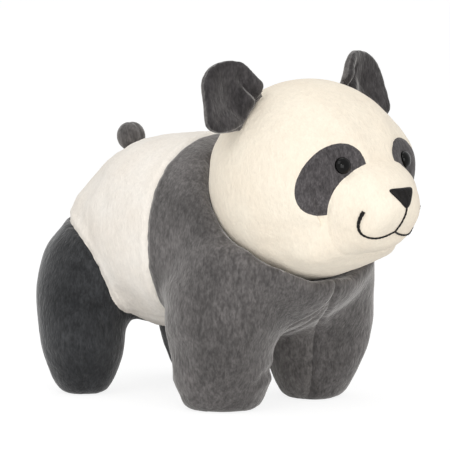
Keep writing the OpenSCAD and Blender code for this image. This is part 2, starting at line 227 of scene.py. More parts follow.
def stuffed(name, bm, held, cap):
    """The skin as cloth under the pressure of its filling.
    Its held points stay where they are, and no point moves as far as the cap."""
    before = [v.co.copy() for v in bm.verts]
    pins = [v.index for v in bm.verts if held(v.co)]
    obj = mesh_object(name, bm)
    group = obj.vertex_groups.new(name="held")
    group.add(pins, 1.0, "REPLACE")
    cloth = obj.modifiers.new("stuffed", "CLOTH")
    cloth.settings.vertex_group_mass = "held"
    cloth.settings.use_pressure = True
    cloth.settings.uniform_pressure_force = CLOTH_PRESSURE
    cloth.settings.shrink_min = -CLOTH_SLACK
    cloth.settings.effector_weights.gravity = 0
    cloth.collision_settings.use_collision = False
    cloth.point_cache.frame_start = 1
    cloth.point_cache.frame_end = CLOTH_FRAMES
    for step in range(1, CLOTH_FRAMES + 1):
        bpy.context.scene.frame_set(step)
    bm = modified(obj)
    bpy.context.scene.frame_set(1)
    bm.verts.ensure_lookup_table()
    bm.verts.index_update()
    moves = evened([v.co - home for v, home in zip(bm.verts, before)], bm, 2)
    for v, home, move in zip(bm.verts, before, moves):
        v.co = home + move * cap / (cap + move.length)
    return bm


def plumped(bm, places):
    """Stuffing that stands out or a skin that draws in, by middle, reach and move of each place"""
    for v in bm.verts:
        p = on_left(v.co)
        move = Vector()
        for middle, reach, push in places:
            away = (p - middle * MM).length
            move += push * MM * hump(away, 0, reach * MM)
        v.co += to_own_side(move, v.co)


def tree_of(places):
    tree = KDTree(len(places))
    for i, place in enumerate(places):
        tree.insert(place, i)
    tree.balance()
    return tree


def creased(bm, folds):
    """Soft folds: the skin sinks along each line, most at its middle, with a low roll beside it.
    Each fold has its depth, width and line."""
    bm.normal_update()
    parts = 6
    points = []
    for depth, width, line in folds:
        line = [Vector(p) * MM for p in line]
        steps = [a.lerp(b, i / parts) for a, b in zip(line, line[1:]) for i in range(parts)]
        steps.append(line[-1])
        for i, place in enumerate(steps):
            share = math.sin(math.pi * (i + 0.5) / len(steps)) ** 0.6
            points.append((place, depth * MM * share, width * MM))
    tree = tree_of([place for place, _, _ in points])
    moves = []
    for v in bm.verts:
        _, i, away = tree.find(on_left(v.co))
        _, depth, width = points[i]
        roll = 0.4 * hump(away, 1.9 * width, 0.9 * width)
        moves.append(v.normal * depth * (hump(away, 0, width) - roll))
    for v, move in zip(bm.verts, moves):
        v.co -= move


def subdivided(name, bm):
    obj = mesh_object(name, bm)
    finer = obj.modifiers.new("finer", "SUBSURF")
    finer.levels = 1
    finer.render_levels = 1
    return modified(obj)


def mixed_faces(bm, piece_of):
    """Faces that lie across a seam: their corners, drawn in a little, belong to different pieces"""
    drawn_in = 0.01
    found = []
    for face in bm.faces:
        middle = face.calc_center_median()
        names = {piece_of(v.co.lerp(middle, drawn_in)) for v in face.verts}
        if len(names) > 1:
            found.append(face)
    return found


def cut_along(bm, piece_of, lines):
    """Cuts the skin along its seams. Each line gives zero for a place on the seam."""
    close = 0.12 * MM
    for line in lines:
        faces = mixed_faces(bm, piece_of)
        at = {v: line(v.co) for face in faces for v in face.verts}
        on_line = [v for v, f in at.items() if abs(f) < close]
        for edge in {e for face in faces for e in face.edges}:
            a, b = edge.verts
            if abs(at[a]) < close or abs(at[b]) < close or at[a] * at[b] > 0:
                continue
            _, new = bmesh.utils.edge_split(edge, a, at[a] / (at[a] - at[b]))
            on_line.append(new)
        bmesh.ops.connect_verts(bm, verts=on_line, check_degenerate=True)


def sorted_faces(bm, piece_of):
    """The pieces' names, and each face's place in that list"""
    names = []
    layer = bm.faces.layers.int.new("piece")
    for face in bm.faces:
        name = piece_of(face.calc_center_median())
        if name not in names:
            names.append(name)
        face[layer] = names.index(name)
    return names, layer


def seam_points(bm, names, layer, depth_of):
    """A tree of the points along the seams, and the depth of each"""
    points = []
    for edge in bm.edges:
        if len(edge.link_faces) != 2:
            continue
        a, b = [names[f[layer]] for f in edge.link_faces]
        if a != b:
            depth = depth_of(a, b)
            start, end = [v.co.copy() for v in edge.verts]
            points += [(start, depth), (start.lerp(end, 0.5), depth), (end, depth)]
    return tree_of([place for place, _ in points]), [depth for _, depth in points]


def unevenness(place, per_metre):
    """Smooth noise between about -1 and 1, with this many lumps to the metre"""
    return noise.noise(place * per_metre)


def sew(bm, names, layer, depth_of, width=1.7 * MM, pucker=0.35 * MM, keep=None):
    """Sinks the skin along its seams, with the small gathers that stitching makes beside them"""
    bm.normal_update()
    tree, depths = seam_points(bm, names, layer, depth_of)
    reach = 9 * MM
    moves = []
    for v in bm.verts:
        place, i, away = tree.find(v.co)
        if away > reach:
            continue
        depth = depths[i]
        hold = keep(v.co) if keep else 1.0
        share = min(1.0, depth / MM)
        gather = unevenness(place, 150) * pucker * share * hump(away, 0, 4.5 * MM)
        sink = depth * (0.8 + 0.35 * unevenness(place, 260)) * hump(away, 0, width)
        roll = 0.28 * depth * hump(away, 3.4 * MM, 2.2 * MM)
        moves.append((v, v.normal * hold * (gather + roll - sink)))
    for v, move in moves:
        v.co += move


def nap(bm, amount):
    """The uneven lie of short pile"""
    bm.normal_update()
    moves = [
        v.normal * amount * (unevenness(v.co, 420) + 0.8 * unevenness(v.co, 90))
        for v in bm.verts
    ]
    for v, move in zip(bm.verts, moves):
        v.co += move


def thicken(obj, thick):
    """Gives a surface a thickness, inwards"""
    wall = obj.modifiers.new("thickness", "SOLIDIFY")
    wall.thickness = thick
    wall.offset = -1


def settle_panels(bm, names, layer, thick):
    """Splits a skin into its pieces, gives each its thickness and puts it in place"""
    for i, name in enumerate(names):
        part = bm.copy()
        own = part.faces.layers.int["piece"]
        bmesh.ops.delete(part, geom=[f for f in part.faces if f[own] != i], context="FACES")
        for edge in part.edges:
            edge.smooth = not edge.is_boundary
        obj = mesh_object(name + "_plush", part)
        thicken(obj, thick)
        settle(obj, name)
    bm.free()


def settle_filling(node, inset, places=()):
    """Fibre filling: the CAD solid with a lumpy surface, drawn in a little under its skin.
    The places are those of the skin's own moves near it."""
    bm = one_skin(node, [node], FILLING_CELL)
    plumped(bm, places)
    bm.normal_update()
    for v in bm.verts:
        v.co -= v.normal * inset * (1 + 0.5 * unevenness(v.co, 120))
    smooth(bm, 2)
    settle(mesh_object(node + "_fibre", bm), node)


# ---- Finishes ----

def linear(code):
    """Linear colour of a hex code"""
    def one(part):
        c = int(part, 16) / 255
        return c / 12.92 if c <= 0.04045 else ((c + 0.055) / 1.055) ** 2.4
    return (one(code[0:2]), one(code[2:4]), one(code[4:6]), 1.0)


def finish_of(name, roughness):
    mat = bpy.data.materials.new(name)
    mat.use_nodes = True
    tree = mat.node_tree
    shader = tree.nodes["Principled BSDF"]
    shader.inputs["Roughness"].default_value = roughness
    return mat, tree, shader


def add_noise(tree, place, scale, detail=2.0, stretch=(1, 1, 1)):
    mapping = tree.nodes.new("ShaderNodeMapping")
    mapping.inputs["Scale"].default_value = stretch
    tree.links.new(place, mapping.inputs["Vector"])
    pattern = tree.nodes.new("ShaderNodeTexNoise")
    pattern.inputs["Scale"].default_value = scale
    pattern.inputs["Detail"].default_value = detail
    tree.links.new(mapping.outputs["Vector"], pattern.inputs["Vector"])
    return pattern.outputs["Fac"]


def add_ramp(tree, factor, low_at, low_colour, high_at, high_colour):
    ramp = tree.nodes.new("ShaderNodeValToRGB")
    ramp.color_ramp.elements[0].position = low_at
    ramp.color_ramp.elements[0].color = low_colour
    ramp.color_ramp.elements[1].position = high_at
    ramp.color_ramp.elements[1].color = high_colour
    tree.links.new(factor, ramp.inputs["Fac"])
    return ramp.outputs["Color"]


def add_product(tree, a, b):
    mix = tree.nodes.new("ShaderNodeMix")
    mix.data_type = "RGBA"
    mix.blend_type = "MULTIPLY"
    mix.inputs["Factor"].default_value = 1.0
    tree.links.new(a, mix.inputs["A"])
    tree.links.new(b, mix.inputs["B"])
    return mix.outputs["Result"]


def add_bump(tree, shader, height, strength, distance):
    bump = tree.nodes.new("ShaderNodeBump")
    bump.inputs["Strength"].default_value = strength
    bump.inputs["Distance"].default_value = distance
    tree.links.new(height, bump.inputs["Height"])
    if shader.inputs["Normal"].is_linked:
        before = shader.inputs["Normal"].links[0].from_socket
        tree.links.new(before, bump.inputs["Normal"])
    tree.links.new(bump.outputs["Normal"], shader.inputs["Normal"])


def grey(value):
    return (value, value, value, 1.0)


def object_place(tree):
    return tree.nodes.new("ShaderNodeTexCoord").outputs["Object"]


def short_plush(name, pale, deep, sheen, sheen_tint, speckle, pile=900):
    """Short cut pile: fine upright grain, soft patches where it lies another way, and a sheen"""
    lie = (1, 1, 0.45)
    mat, tree, shader = finish_of(name, roughness=0.95)
    place = object_place(tree)
    patches = add_noise(tree, place, 42, 3.0)
    grain = add_noise(tree, place, pile, 2.0, lie)
    tufts = add_noise(tree, place, pile * 0.42, 2.0, lie)
    body = add_ramp(tree, patches, 0.3, linear(deep), 0.68, linear(pale))
    fine = add_ramp(tree, grain, 0.34, grey(speckle), 0.66, grey(1.0))
    streaks = add_ramp(tree, tufts, 0.34, grey(speckle), 0.66, grey(1.0))
    blended = add_product(tree, add_product(tree, body, fine), streaks)
    tree.links.new(blended, shader.inputs["Base Color"])
    shader.inputs["Specular IOR Level"].default_value = 0.12
    shader.inputs["Sheen Weight"].default_value = sheen
    shader.inputs["Sheen Roughness"].default_value = 0.45
    shader.inputs["Sheen Tint"].default_value = sheen_tint
    add_bump(tree, shader, tufts, strength=0.55, distance=0.9 * MM)
    add_bump(tree, shader, grain, strength=0.6, distance=0.5 * MM)
    return mat


def satin_thread():
    """Black thread in close rows"""
    mat, tree, shader = finish_of("black_satin_thread", roughness=0.42)
    place = object_place(tree)
    rows = tree.nodes.new("ShaderNodeTexWave")
    rows.bands_direction = "Y"
    rows.inputs["Scale"].default_value = 340
    rows.inputs["Distortion"].default_value = 1.2
    rows.inputs["Detail"].default_value = 1.0
    tree.links.new(place, rows.inputs["Vector"])
    colour = add_ramp(tree, rows.outputs["Fac"], 0.0, linear("070606"), 1.0, linear("171311"))
    tree.links.new(colour, shader.inputs["Base Color"])
    shader.inputs["Specular IOR Level"].default_value = 0.2
    add_bump(tree, shader, rows.outputs["Fac"], strength=0.5, distance=0.25 * MM)
    return mat


def eye_gloss():
    """Polished black plastic, with the faint unevenness of a moulded dome"""
    mat, tree, shader = finish_of("polished_black_eye", roughness=0.05)
    cloud = add_noise(tree, object_place(tree), 260, 2.0)
    colour = add_ramp(tree, cloud, 0.3, linear("040404"), 0.8, linear("0a0908"))
    tree.links.new(colour, shader.inputs["Base Color"])
    shader.inputs["Specular IOR Level"].default_value = 0.16
    add_bump(tree, shader, cloud, strength=0.03, distance=0.1 * MM)
    return mat


def washer_nylon():
    """Pale moulded nylon, with flow marks"""
    mat, tree, shader = finish_of("washer_nylon", roughness=0.45)
    flow = add_noise(tree, object_place(tree), 320, 3.0, (1, 1, 0.3))
    colour = add_ramp(tree, flow, 0.3, linear("dcd9d0"), 0.8, linear("efede6"))
    tree.links.new(colour, shader.inputs["Base Color"])
    add_bump(tree, shader, flow, strength=0.15, distance=0.1 * MM)
    return mat


def loose_fibre():
    """White polyester fibre filling, in curled strands and clumps"""
    mat, tree, shader = finish_of("loose_fibre", roughness=0.9)
    place = object_place(tree)
    clumps = add_noise(tree, place, 90, 4.0)
    strands = add_noise(tree, place, 620, 4.0, (1, 0.25, 0.6))
    body = add_ramp(tree, clumps, 0.3, linear("dededb"), 0.7, linear("f4f4f1"))
    fine = add_ramp(tree, strands, 0.35, grey(0.85), 0.65, grey(1.0))
    tree.links.new(add_product(tree, body, fine), shader.inputs["Base Color"])
    shader.inputs["Sheen Weight"].default_value = 0.2
    add_bump(tree, shader, strands, strength=0.6, distance=0.8 * MM)
    return mat


PLAIN_SHEEN = (1, 1, 1, 1)
WARM_SHEEN = (0.82, 0.8, 0.78, 1)
COOL_SHEEN = (0.85, 0.85, 0.85, 1)
PATCH_SHEEN = (0.8, 0.78, 0.76, 1)

WHITE = short_plush("white_plush_pile", "fef8ef", "f9f1e6", 0.12, PLAIN_SHEEN, 0.95)
CREAM = short_plush("cream_plush_pile", "fcf2e0", "f9edda", 0.12, PLAIN_SHEEN, 0.96)
CHARCOAL = short_plush("charcoal_plush_pile", "7b7776", "625f5e", 0.8, WARM_SHEEN, 0.62)
DARK = short_plush("dark_charcoal_pile", "494a4c", "303133", 0.7, COOL_SHEEN, 0.62)
PATCH = short_plush("patch_plush_pile", "6e6a6b", "5e5a5b", 0.2, PATCH_SHEEN, 0.6, 1300)
# Charcoal pile lightened for the foreleg gussets: painted fill light on their front and underside
GUSSET_PAINTED_LIGHT_PILE = short_plush("gusset_painted_light_pile", "918d8b", "767270", 0.8, WARM_SHEEN, 0.62)
# Charcoal pile darkened for the ear fronts: painted shade in the ears' hollows
EAR_PAINTED_SHADE_PILE = short_plush("ear_painted_shade_pile", "545152", "393637", 0.7, WARM_SHEEN, 0.6, 800)
THREAD = satin_thread()
EYE = eye_gloss()
NYLON = washer_nylon()
FIBRE = loose_fibre()

SLOT_FINISH = {
    "white_plush": WHITE,
    "cream_plush": CREAM,
    "charcoal_plush": CHARCOAL,
    "dark_plush": DARK,
    "patch_plush": PATCH,
    "black_thread": THREAD,
    "eye_plastic": EYE,
    "washer_plastic": NYLON,
    "fibre_filling": FIBRE,
}
# Panels given lit or shaded copies of their cloth's pile: painted shade in the ear fronts' hollows, painted fill
# light on the foreleg gussets
NODE_FINISH = {
    "ear_front_left": EAR_PAINTED_SHADE_PILE,
    "ear_front_right": EAR_PAINTED_SHADE_PILE,
    "foreleg_inner_left": GUSSET_PAINTED_LIGHT_PILE,
    "foreleg_inner_right": GUSSET_PAINTED_LIGHT_PILE,
}
SLOT_OF = {row["node"]: row["material_slot"] for row in frame["record"]["subparts"]}
BODY_OF = {
    node: body
    for body, nodes in frame["record"]["behaviour"]["bodies"].items()
    for node in nodes
}


def settle(obj, node):
    """Puts a finished piece in the place of its CAD node: its body, its finish and what it hides"""
    obj.data.materials.clear()
    obj.data.materials.append(NODE_FINISH.get(node, SLOT_FINISH[SLOT_OF[node]]))
    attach(obj, BODY_OF[node])
    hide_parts(node)


# ---- Body ----

def haunch_edge(p):
    """Below zero inside the seam that runs over the haunch"""
    along = (p.x - RUMP_X) / (HAUNCH_X - RUMP_X)
    up = max(0.0, (p.z - HAUNCH_LOW) / (HAUNCH_Z - HAUNCH_LOW))
    size = (max(along, 0.0) ** HAUNCH_CURVE + up ** HAUNCH_CURVE) ** (1 / HAUNCH_CURVE)
    return (size - 1) * (HAUNCH_Z - HAUNCH_LOW)


def gusset_edge(p):
    """Below zero on the inner side of a foreleg"""
    corner = FORE_FOOT + FORE_FOOT_LEN / 2 * Vector((math.cos(TOE_IN), -math.sin(TOE_IN), 0))
    return (p.x - corner.x) * math.sin(GUSSET_TURN) + (abs(p.y) - corner.y) * math.cos(GUSSET_TURN)


SHIN_TWIST = Matrix.Rotation(SHIN_LEAN, 3, "Y") @ Matrix.Rotation(SHIN_TURN, 3, "Z")
SHIN_ACROSS = SHIN_TWIST @ Vector((0, 1, 0))


def shin_edge(p):
    """Below zero on the front and inner side of a hind leg"""
    return (on_left(p) - HIND_FOOT).dot(SHIN_ACROSS)


def side_of(p):
    return "left" if p.y > 0 else "right"


def body_piece(p):
    if p.x > SHOULDER_X:
        inner = p.z < GUSSET_TOP and gusset_edge(p) < 0
        return ("foreleg_inner_" if inner else "shoulder_panel_") + side_of(p)
    if p.z < HAUNCH_LOW and p.x < HAUNCH_X or haunch_edge(p) < 0:
        return ("hind_leg_inner_" if shin_edge(p) < 0 else "hind_leg_outer_") + side_of(p)
    if abs(p.y) < BELLY_HALF and p.z < HEAD_AT.z / 2:
        return "belly_panel"
    return "back_panel_" + side_of(p)


BODY_LINES = [
    lambda p: p.x - SHOULDER_X,
    haunch_edge,
    lambda p: abs(p.y) - BELLY_HALF,
    gusset_edge,
    lambda p: p.z - GUSSET_TOP,
    shin_edge,
    lambda p: p.y,
]

COLOUR_OF = {
    "shoulder": "charcoal",
    "foreleg": "charcoal",
    "hind": "dark",
    "back": "white",
    "belly": "white",
}


def body_seam_depth(a, b):
    """Seams between two colours are drawn in most, the spine and the shins least"""
    a, b = a.split("_")[0], b.split("_")[0]
    if COLOUR_OF[a] != COLOUR_OF[b]:
        return 1.7 * MM
    if a == b and a in ("back", "hind"):
        return 0.8 * MM
    return 1.2 * MM


BODY_NODES = [n for n, body in BODY_OF.items() if body == "torso"]


def near_seam(p, reach):
    """True where another piece lies within reach"""
    here = body_piece(p)
    ways = [way * reach for axis in Matrix.Identity(3) for way in (axis, -axis)]
    return any(body_piece(p + way) != here for way in ways)


def close_neck(bm):
    """Draws the edge of the neck hollow in until it touches the head"""
    touch = HEAD_R + 0.5 * MM
    reach = 16 * MM
    furthest = 2.3 * MM
    for v in bm.verts:
        out = v.co - HEAD_AT
        away = out.length - touch
        if away < reach:
            pull = max(0.0, min(away, furthest)) * (1 - max(0.0, away) / reach)
            v.co -= out.normalized() * pull


# Middle, reach and move in millimetres, for the left side
COLLAR_CORNER = (Vector((62, 38, 88)), 16, Vector((2.6, 4.6, 1.4)))
FORELEG_FRONT = (Vector((42, 50, 34)), 20, Vector((3.0, 3.0, 0)))
RUMP_CORNER = (Vector((-106, 40, 141)), 24, Vector((5.0, -5.0, -1.5)))
TAIL_SEAT = (TAIL_AT / MM + Vector((-4, 9, 2)), 8, Vector((0, 0, -1.6)))
BODY_PLUMP = [COLLAR_CORNER, FORELEG_FRONT, RUMP_CORNER, TAIL_SEAT]

# Depth, width and line in millimetres, for the left side
HAUNCH_FOLDS = [
    (0.7, 2.6, [(-95, 66, 77), (-84, 64, 77), (-74, 59, 73)]),
    (0.7, 2.6, [(-91, 68, 67), (-81, 66, 66), (-74, 61, 64)]),
    (0.6, 2.4, [(-86, 70, 56), (-79, 67, 55), (-74, 64, 55)]),
    (0.8, 2.2, [(-70, 58, 59), (-68, 54, 57), (-66, 48, 51)]),
    (0.7, 2.2, [(-71, 60, 54), (-68, 57, 50), (-66, 53, 44)]),
]
ANKLE_LINE = [(19, 10, 22), (32, 13, 24), (41, 22, 24), (44, 32, 22), (43, 39, 17), (41, 45, 16)]
BODY_FOLDS = HAUNCH_FOLDS + [(1.3, 3.0, ANKLE_LINE)]


def regain_soles(bm, skin):
    """Undoes the smoothing low down, so that the feet keep their full soles"""
    for v in bm.verts:
        share = 1 - ramp(v.co.z, 12 * MM, 18 * MM)
        if share:
            v.co = v.co.lerp(skin.find_nearest(v.co)[0], share)


def body():
    feet_top = 34 * MM
    bm = one_skin("body", BODY_NODES, BODY_CELL)
    skin = BVHTree.FromBMesh(bm)
    smooth(bm, 10, lambda p: p.z > feet_top)
    smooth(bm, 5)
    regain_soles(bm, skin)
    bm = stuffed("body", bm, lambda p: p.z < 2 * MM or near_seam(p, 2.5 * MM), cap=2.2 * MM)
    bm = subdivided("body", bm)
    plumped(bm, BODY_PLUMP)
    close_neck(bm)
    creased(bm, BODY_FOLDS)
    cut_along(bm, body_piece, BODY_LINES)
    names, layer = sorted_faces(bm, body_piece)
    sew(bm, names, layer, body_seam_depth, keep=lambda p: min(1.0, p.z / (4 * MM)))
    nap(bm, 0.12 * MM)
    for v in bm.verts:
        v.co.z = max(0.0, v.co.z)
    settle_panels(bm, names, layer, BODY_WALL)
    for node in BODY_NODES:
        if "filling" in node:
            settle_filling(node, 2.5 * MM, [RUMP_CORNER])


# ---- Head ----

def towards(side_turn, up_turn):
    """Turns straight up to straight ahead and then out to the left and up"""
    return (
        Matrix.Rotation(side_turn, 3, "Z")
        @ Matrix.Rotation(-up_turn, 3, "Y")
        @ Matrix.Rotation(math.radians(90), 3, "Y")
    )


PATCH_ROLL = Matrix.Rotation(math.radians(90) - PATCH_TILT, 3, "Z")
PATCH_BACK = (towards(PATCH_SIDE, PATCH_UP) @ PATCH_ROLL).transposed()
EYE_OUT = towards(EYE_SIDE, EYE_UP) @ Vector((0, 0, 1))


def muzzle_edge(p):
    """Above zero on the muzzle"""
    q = p - MUZZLE_AT
    share = Vector((q.x / MUZZLE_R.x, q.y / MUZZLE_R.y, q.z / MUZZLE_R.z)).length
    return (p - HEAD_AT).length - HEAD_R - (share - 1) * MUZZLE_R.x


def patch_edge(p):
    """Below zero inside an eye patch"""
    q = PATCH_BACK @ (on_left(p) - HEAD_AT)
    if q.z < 0:
        return PATCH_HALF.x
    return (Vector((q.x / PATCH_HALF.x, q.y / PATCH_HALF.y)).length - 1) * PATCH_HALF.y


def head_piece(p):
    if muzzle_edge(p) > 0:
        return "muzzle_panel"
    if patch_edge(p) < 0:
        return "eye_patch_" + side_of(p)
    return "head_side_" + side_of(p)


HEAD_LINES = [muzzle_edge, patch_edge, lambda p: p.y]


def head_seam_depth(a, b):
    """The crown's seam is brushed out, the muzzle's is soft and the patches' are crisp"""
    kinds = {a.split("_")[0], b.split("_")[0]}
    if kinds == {"head"}:
        return 0
    if "muzzle" in kinds:
        return 0.55 * MM
    return 0.6 * MM


# Degrees round from straight ahead, degrees up, the reach of each, and the swell in millimetres
CHEEK = (44, 17, 26, 22, 4.4)
JAW = (44, -42, 18, 12, 4.8)
CHIN_SIDE = (28, -36, 14, 9, 4.2)


def fill_cheeks(bm):
    """Full cheeks and jaws, a rounded muzzle, and the step back below the nose"""
    for v in bm.verts:
        out = on_left(v.co) - HEAD_AT
        turn = math.degrees(math.atan2(out.y, out.x))
        rise = math.degrees(math.asin(out.z / out.length))
        grow = sum(
            swell * hump(turn, middle, width) * hump(rise, up, height)
            for middle, up, width, height, swell in (CHEEK, JAW, CHIN_SIDE)
        )
        v.co += (v.co - HEAD_AT).normalized() * grow * MM
        up = (v.co.z - MUZZLE_AT.z) / MM
        if v.co.x > MUZZLE_AT.x:
            across = abs(v.co.y) / MM
            under_nose = 1.8 * hump(up, 1, 6)
            chin_step = 3.8 * hump(up, -16, 7)
            v.co.x += (under_nose - chin_step) * hump(across, 0, 14) * MM
            lip = 1.2 * hump(across, 13, 6)
            flank = 3.8 * ramp(across, 16, 9)
            v.co.x += (lip - flank) * hump(up, -5, 12) * MM


def seat_eyes(bm):
    """The plush dips round each eye, where the stem pulls it in; gives the place of the left eye"""
    depth = 1.3 * MM
    reach = 8 * MM
    bm.normal_update()
    place = BVHTree.FromBMesh(bm).ray_cast(HEAD_AT + EYE_OUT * HEAD_R / 2, EYE_OUT)[0]
    for v in bm.verts:
        away = (on_left(v.co) - place).length
        v.co -= v.normal * depth * hump(away, 0, reach)
    return place


HEAD_SKIN_NODES = [
    n for n, body in BODY_OF.items()
    if body == "head" and n.startswith(("head_", "muzzle_", "eye_patch_"))
]


def under_muzzle(p):
    """Beside the lower part of the muzzle's seam"""
    return abs(muzzle_edge(p)) < 9 * MM and p.z < MUZZLE_AT.z - 9 * MM


def head():
    bm = one_skin("head", HEAD_SKIN_NODES, HEAD_CELL)
    smooth(bm, 6)
    bm = stuffed("head", bm, lambda p: abs(muzzle_edge(p)) < 2 * MM, cap=0.8 * MM)
    bm = subdivided("head", bm)
    fill_cheeks(bm)
    smooth(bm, 60, under_muzzle)
    smooth(bm, 3)
    cut_along(bm, head_piece, HEAD_LINES)
    names, layer = sorted_faces(bm, head_piece)
    sew(bm, names, layer, head_seam_depth, width=1.3 * MM, pucker=0.15 * MM)
    eye_place = seat_eyes(bm)
    nap(bm, 0.1 * MM)
    surface = BVHTree.FromBMesh(bm)
    settle_panels(bm, names, layer, HEAD_WALL)
    settle_filling("head_filling", 1.5 * MM)
    return surface, eye_place


# ---- Eyes ----

STEM_R = 2 * MM
STEM_LEN = 13 * MM
STEM_RINGS = 12
STEM_RIDGE = 0.35 * MM
EYE_DOME = 3.4 * MM
EYE_ARC = math.radians(94)


def eye_outline():
    """Half the section of an eye: dome, rim, ridged stem and its end"""
    steps = 14
    arc = [EYE_ARC * i / steps for i in range(steps + 1)]
    outline = [Vector((EYE_R * math.sin(a), 0, EYE_DOME * math.cos(a))) for a in arc]
    outline.append(Vector((EYE_R * 0.9, 0, -0.9 * MM)))
    outline.append(Vector((STEM_R, 0, -1.1 * MM)))
    for i in range(STEM_RINGS):
        z = -1.4 * MM - (STEM_LEN - 2.4 * MM) * i / STEM_RINGS
        outline.append(Vector((STEM_R - (STEM_RIDGE if i % 2 else 0), 0, z)))
    outline.append(Vector((STEM_R * 0.8, 0, -STEM_LEN)))
    outline.append(Vector((0, 0, -STEM_LEN)))
    return outline


def eye(side, place):
    """A domed button with a soft rim, on a ridged stem"""
    bm = bmesh.new()
    verts = [bm.verts.new(p) for p in eye_outline()]
    edges = [bm.edges.new(pair) for pair in zip(verts, verts[1:])]
    bmesh.ops.spin(
        bm,
        geom=verts + edges,
        cent=(0, 0, 0),
        axis=(0, 0, 1),
        angle=math.tau,
        steps=48,
        use_merge=True,
    )
    bmesh.ops.remove_doubles(bm, verts=bm.verts, dist=0.01 * MM)
    turn = towards(EYE_SIDE, EYE_UP).to_4x4()
    sunk = Matrix.Translation(place - EYE_OUT * EYE_SINK)
    flip = Matrix.Diagonal((1, side, 1, 1))
    bmesh.ops.transform(bm, matrix=flip @ sunk @ turn, verts=bm.verts)
    bmesh.ops.recalc_face_normals(bm, faces=bm.faces)
    node = "eye_left" if side > 0 else "eye_right"
    settle(mesh_object(node + "_button", bm), node)


# ---- Nose and mouth ----

def on_face(surface, y, z, lift):
    """A point over the front of the head, at a place across and up from the middle of the muzzle"""
    in_front = 100 * MM
    start = Vector((MUZZLE_AT.x + in_front, y, MUZZLE_AT.z + z))
    place, normal, _, _ = surface.ray_cast(start, Vector((-1, 0, 0)))
    return place + normal * lift


NOSE_HALF_W = 11.2 * MM
NOSE_TALL = 9.8 * MM
NOSE_UP = 7.4 * MM
NOSE_SLANT = math.radians(-37)
NOSE_CORNER = 3.8  # higher is sharper
SATIN_ROW = 0.75 * MM


def nose_outline(angle):
    """Reach of the rounded triangle from its middle, as a share of its half width"""
    top = 0.45
    flank = math.cos(NOSE_SLANT) + top * math.sin(NOSE_SLANT)
    sides = [(math.pi / 2, top), (NOSE_SLANT, flank), (math.pi - NOSE_SLANT, flank)]
    total = sum(max(0.0, math.cos(angle - facing) / away) ** NOSE_CORNER for facing, away in sides)
    return total ** (-1 / NOSE_CORNER)


def nose(surface):
    """A padded satin-stitch triangle"""
    bm = bmesh.new()
    bmesh.ops.create_grid(bm, x_segments=96, y_segments=64, size=1)
    for v in bm.verts:
        x, y = v.co.x, v.co.y
        disc = Vector((x * math.sqrt(1 - y * y / 2), y * math.sqrt(1 - x * x / 2)))
        share = min(1.0, disc.length)
        angle = math.atan2(disc.y, disc.x)
        reach = nose_outline(angle) * share
        across = reach * math.cos(angle) * NOSE_HALF_W
        up = reach * math.sin(angle) * NOSE_TALL
        row = 0.10 * MM * math.cos(math.tau * across / SATIN_ROW) * (1 - share ** 4)
        puff = 1.6 * MM * math.sqrt(max(0.0, 1 - share ** 3))
        v.co = on_face(surface, across, NOSE_UP + up, puff + row + 0.05 * MM)
    bmesh.ops.recalc_face_normals(bm, faces=bm.faces)
    if sum(f.normal.x for f in bm.faces) < 0:
        bmesh.ops.reverse_faces(bm, faces=bm.faces)
    obj = mesh_object("nose_satin_pad", bm)
    thicken(obj, SATIN_WALL)
    settle(obj, "nose_embroidery")


def bezier(points, t):
    a, b, c, d = points
    u = 1 - t
    return u ** 3 * a + 3 * u * u * t * b + 3 * u * t * t * c + t ** 3 * d


# Across from the middle of the muzzle and up from it: the bends of one half of the smile
SMILE = [Vector(p) * MM for p in ((0, -14), (10, -19.5), (28, -20), (23, -1))]
SMILE_STEPS = 90
DROP_STEPS = 40
THREAD_R = 0.65 * MM
STITCH = 2.4 * MM
THICKER_FROM = 0.55


def stitched(surface, name, places, thick_end):
    """A line of back stitches over the plush, thicker towards its end by the given share"""
    curve = bpy.data.curves.new(name, "CURVE")
    curve.dimensions = "3D"
    curve.bevel_depth = 1.0
    curve.bevel_resolution = 3
    curve.use_fill_caps = True
    line = curve.splines.new("POLY")
    line.points.add(len(places) - 1)
    run = 0.0
    for i, (point, place) in enumerate(zip(line.points, places)):
        if i:
            run += (places[i] - places[i - 1]).length
        share = i / (len(places) - 1)
        swell = 0.8 + 0.2 * abs(math.sin(math.pi * run / STITCH))
        thicker = thick_end * ramp(share, THICKER_FROM, 1 - THICKER_FROM) ** 1.3
        radius = THREAD_R * swell * (1 + thicker)
        at = on_face(surface, place.x, place.y, 0.35 * radius)
        point.co = (at.x, at.y, at.z, 1.0)
        point.radius = radius
    obj = bpy.data.objects.new(name, curve)
    bpy.context.scene.collection.objects.link(obj)
    graph = bpy.context.evaluated_depsgraph_get()
    bm = bmesh.new()
    bm.from_mesh(obj.evaluated_get(graph).to_mesh())
    bpy.data.objects.remove(obj)
    bpy.data.curves.remove(curve)
    return bm


def mouth(surface):
    """A line straight down from the nose, and the two halves of the smile"""
    start = Vector((0, NOSE_UP - NOSE_TALL * 0.7))
    drop = [start.lerp(SMILE[0], i / DROP_STEPS) for i in range(DROP_STEPS + 1)]
    strands = [stitched(surface, "philtrum", drop, 0.0)]
    half = [bezier(SMILE, i / SMILE_STEPS) for i in range(SMILE_STEPS + 1)]
    for side in (1, -1):
        line = [Vector((side * p.x, p.y)) for p in half]
        strands.append(stitched(surface, "smile", line, 1.1))
    whole = bmesh.new()
    for strand in strands:
        mesh = bpy.data.meshes.new("strand")
        strand.to_mesh(mesh)
        strand.free()
        whole.from_mesh(mesh)
        bpy.data.meshes.remove(mesh)
    bmesh.ops.remove_doubles(whole, verts=whole.verts, dist=WELD)
    bmesh.ops.recalc_face_normals(whole, faces=whole.faces)
    settle(mesh_object("mouth_stitches", whole), "mouth_embroidery")


# ---- Ears ----

